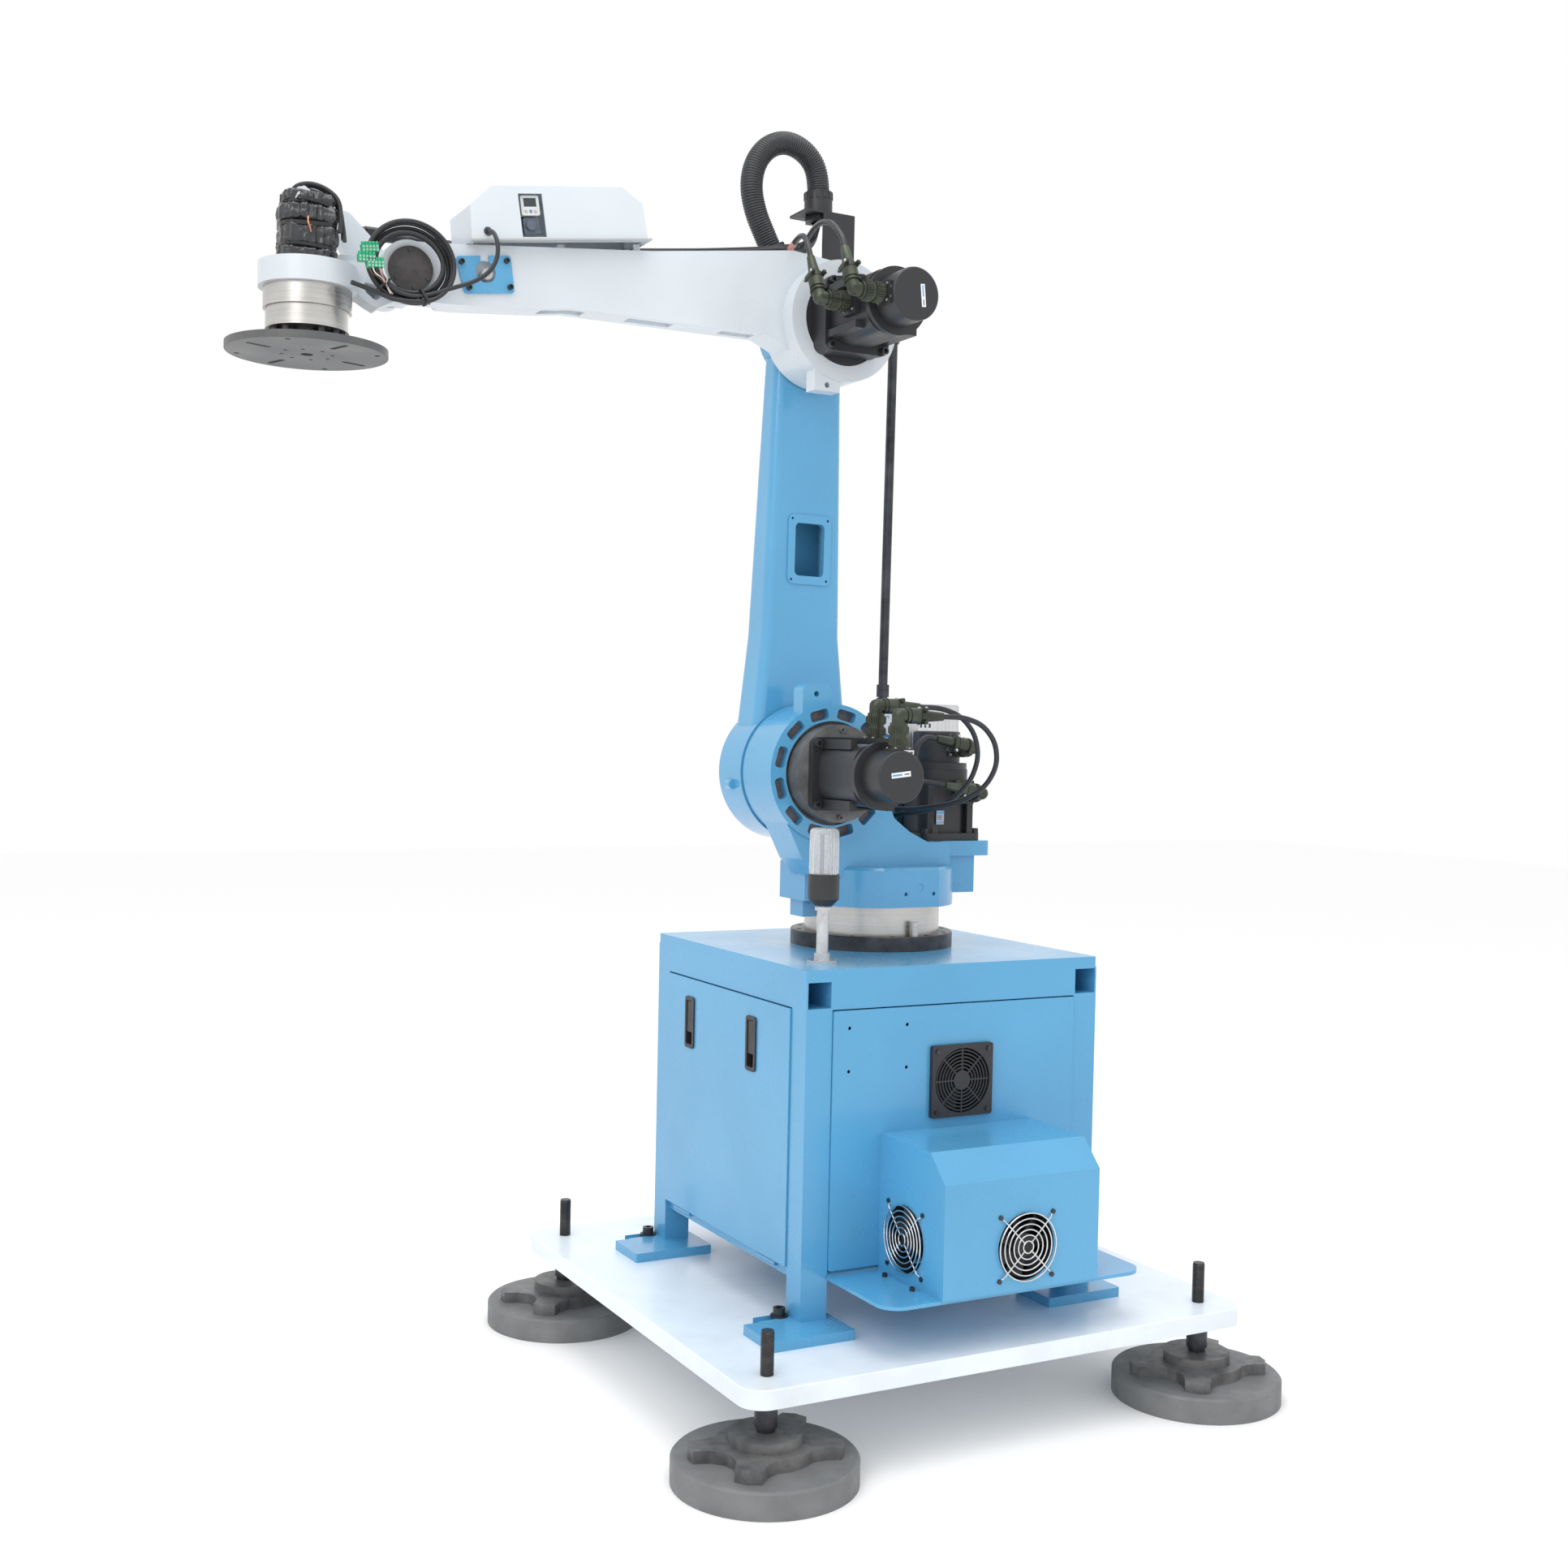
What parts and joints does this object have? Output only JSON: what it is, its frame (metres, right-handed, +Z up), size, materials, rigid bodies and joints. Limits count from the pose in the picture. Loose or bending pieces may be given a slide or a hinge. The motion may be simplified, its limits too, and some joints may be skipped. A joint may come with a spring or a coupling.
{
  "type": "palletising robot arm",
  "caption": "Four-axis palletising robot arm with a parallel-rod level wrist, on a welded control cabinet, base plate and levelling feet.",
  "frame": {"origin": "point on the floor under the turret's turning axis", "axes": "+X the way the arm reaches, +Z up, +Y to the side with the joint motors and the fans"},
  "size_m": [1.7626, 1.15, 2.2613],
  "materials": {
    "rubber_black": "matt black rubber",
    "cast_dark": "dark cast iron, slightly rough",
    "steel_zinc": "zinc plated steel",
    "steel_dark": "blackened steel",
    "steel_bright": "turned steel",
    "paint_white": "semi-gloss white paint",
    "paint_blue": "gloss sky-blue paint",
    "paint_black": "satin black paint",
    "plastic_black": "black moulded plastic",
    "plastic_grey": "light grey moulded plastic",
    "plastic_green": "green terminal plastic",
    "olive_plated": "olive drab plating",
    "lens_clear": "clear ribbed plastic lens",
    "alloy_grey": "grey anodised aluminium",
    "cable_black": "black cable sheath"
  },
  "bodies": {
    "base": {"foot_discs": "rubber_black", "foot_spiders": "cast_dark", "foot_studs": "steel_dark", "base_plate": "paint_white", "cabinet_frame": "paint_blue", "base_fasteners": "steel_dark", "side_panels": "paint_blue", "fan_box": "paint_blue", "fan_frames": "plastic_black", "fan_guards": "plastic_black", "transformer": "steel_dark", "cabinet_electronics": "plastic_grey", "beacon_base": "steel_zinc", "beacon_lens": "lens_clear", "j1_base_ring": "steel_dark", "j1_reducer_case": "steel_bright"},
    "door": {"door_panel": "paint_blue", "latch_bodies": "plastic_black"},
    "left_latch": {"latch_paddle_left": "plastic_black"},
    "right_latch": {"latch_paddle_right": "plastic_black"},
    "panel_fan": {"panel_fan_rotor": "plastic_black"},
    "front_fan": {"front_fan_rotor": "plastic_black"},
    "side_fan": {"side_fan_rotor": "plastic_black"},
    "turret": {"j1_output_flange": "steel_bright", "turret_casting": "paint_blue", "turret_covers": "alloy_grey", "j1_motor": "paint_black", "j1_connectors": "olive_plated", "j2_reducer": "cast_dark", "j2_motor": "paint_black", "j2_connectors": "olive_plated", "turret_cables": "cable_black"},
    "lower_arm": {"lower_arm_casting": "paint_blue", "j2_output_flange": "steel_bright", "j3_output_flange": "steel_bright"},
    "crank": {"bell_crank": "paint_white"},
    "rear_link": {"rear_rod": "steel_dark"},
    "upper_link": {"upper_rod": "steel_dark"},
    "forearm": {"forearm_casting": "paint_white", "j3_reducer": "paint_black", "j3_motor": "paint_black", "j3_connectors": "olive_plated", "wrist_bearing": "steel_dark", "cable_plate": "paint_blue", "cover_box": "paint_white", "air_gauge": "plastic_grey", "conduit": "plastic_black", "conduit_glands": "plastic_black", "forearm_cables": "cable_black", "cable_coil": "cable_black", "coil_lead": "cable_black", "terminal_blocks": "plastic_green"},
    "left_button": {"gauge_button_left": "plastic_grey"},
    "middle_button": {"gauge_button_middle": "plastic_grey"},
    "right_button": {"gauge_button_right": "plastic_grey"},
    "wrist": {"wrist_casting": "paint_white", "wrist_motor": "plastic_grey", "j4_reducer_case": "steel_bright"},
    "tool_flange": {"j4_output_ring": "steel_bright", "tool_disc": "alloy_grey"}
  },
  "joints": [
    {"name": "j1_turn", "type": "hinge", "parent": "base", "child": "turret", "pos_m": [0, 0, 0.849], "axis": [0, 0, 1], "range_deg": [-170, 170]},
    {"name": "j2_shoulder", "type": "hinge", "parent": "turret", "child": "lower_arm", "pos_m": [0.15, 0, 1.092], "axis": [0, 1, 0], "range_deg": [-30, 60]},
    {"name": "crank_pivot", "type": "hinge", "parent": "lower_arm", "child": "crank", "pos_m": [0.14293, -0.085, 1.90197], "axis": [0, 1, 0], "range_deg": [-60, 30]},
    {"name": "rear_link_pivot", "type": "hinge", "parent": "turret", "child": "rear_link", "pos_m": [-0.08, -0.107, 1.19], "axis": [0, 1, 0], "range_deg": [-30, 60]},
    {"name": "j3_elbow", "type": "hinge", "parent": "crank", "child": "forearm", "pos_m": [0.14293, 0, 1.90197], "axis": [0, 1, 0], "range_deg": [-30, 45]},
    {"name": "upper_link_pivot", "type": "hinge", "parent": "crank", "child": "upper_link", "pos_m": [0.21793, -0.107, 1.99397], "axis": [0, 1, 0], "range_deg": [-30, 45]},
    {"name": "wrist_pivot", "type": "hinge", "parent": "forearm", "child": "wrist", "pos_m": [0.92783, 0, 1.88964], "axis": [0, 1, 0], "range_deg": [-45, 30]},
    {"name": "j4_tool", "type": "hinge", "parent": "wrist", "child": "tool_flange", "pos_m": [1.07384, 0, 1.8], "axis": [0, 0, 1], "range_deg": [-180, 180]},
    {"name": "door_hinge", "type": "hinge", "parent": "base", "child": "door", "pos_m": [0.31, 0.023, 0.257], "axis": [0, 1, 0], "range_deg": [0, 90]},
    {"name": "left_latch_turn", "type": "hinge", "parent": "door", "child": "left_latch", "pos_m": [0.31625, -0.12, 0.60325], "axis": [0, 1, 0], "range_deg": [0, 35], "stiffness_Nm_per_rad": 0.05},
    {"name": "right_latch_turn", "type": "hinge", "parent": "door", "child": "right_latch", "pos_m": [0.31625, 0.129, 0.60325], "axis": [0, 1, 0], "range_deg": [0, 35], "stiffness_Nm_per_rad": 0.05},
    {"name": "panel_fan_spin", "type": "hinge", "parent": "base", "child": "panel_fan", "pos_m": [0.008, 0.318, 0.568], "axis": [0, 1, 0], "continuous": true},
    {"name": "front_fan_spin", "type": "hinge", "parent": "base", "child": "front_fan", "pos_m": [0.004, 0.51, 0.328], "axis": [0, 1, 0], "continuous": true},
    {"name": "side_fan_spin", "type": "hinge", "parent": "base", "child": "side_fan", "pos_m": [0.16, 0.404, 0.328], "axis": [1, 0, 0], "continuous": true},
    {"name": "left_button_press", "type": "slide", "parent": "forearm", "child": "left_button", "axis": [0, -1, 0], "range_m": [0, 0.001], "stiffness_N_per_m": 300},
    {"name": "middle_button_press", "type": "slide", "parent": "forearm", "child": "middle_button", "axis": [0, -1, 0], "range_m": [0, 0.001], "stiffness_N_per_m": 300},
    {"name": "right_button_press", "type": "slide", "parent": "forearm", "child": "right_button", "axis": [0, -1, 0], "range_m": [0, 0.001], "stiffness_N_per_m": 300}
  ],
  "couplings": [
    {"joint": "crank_pivot", "follows": "j2_shoulder", "ratio": -1},
    {"joint": "rear_link_pivot", "follows": "j2_shoulder", "ratio": 1},
    {"joint": "upper_link_pivot", "follows": "j3_elbow", "ratio": 1},
    {"joint": "wrist_pivot", "follows": "j3_elbow", "ratio": -1}
  ]
}
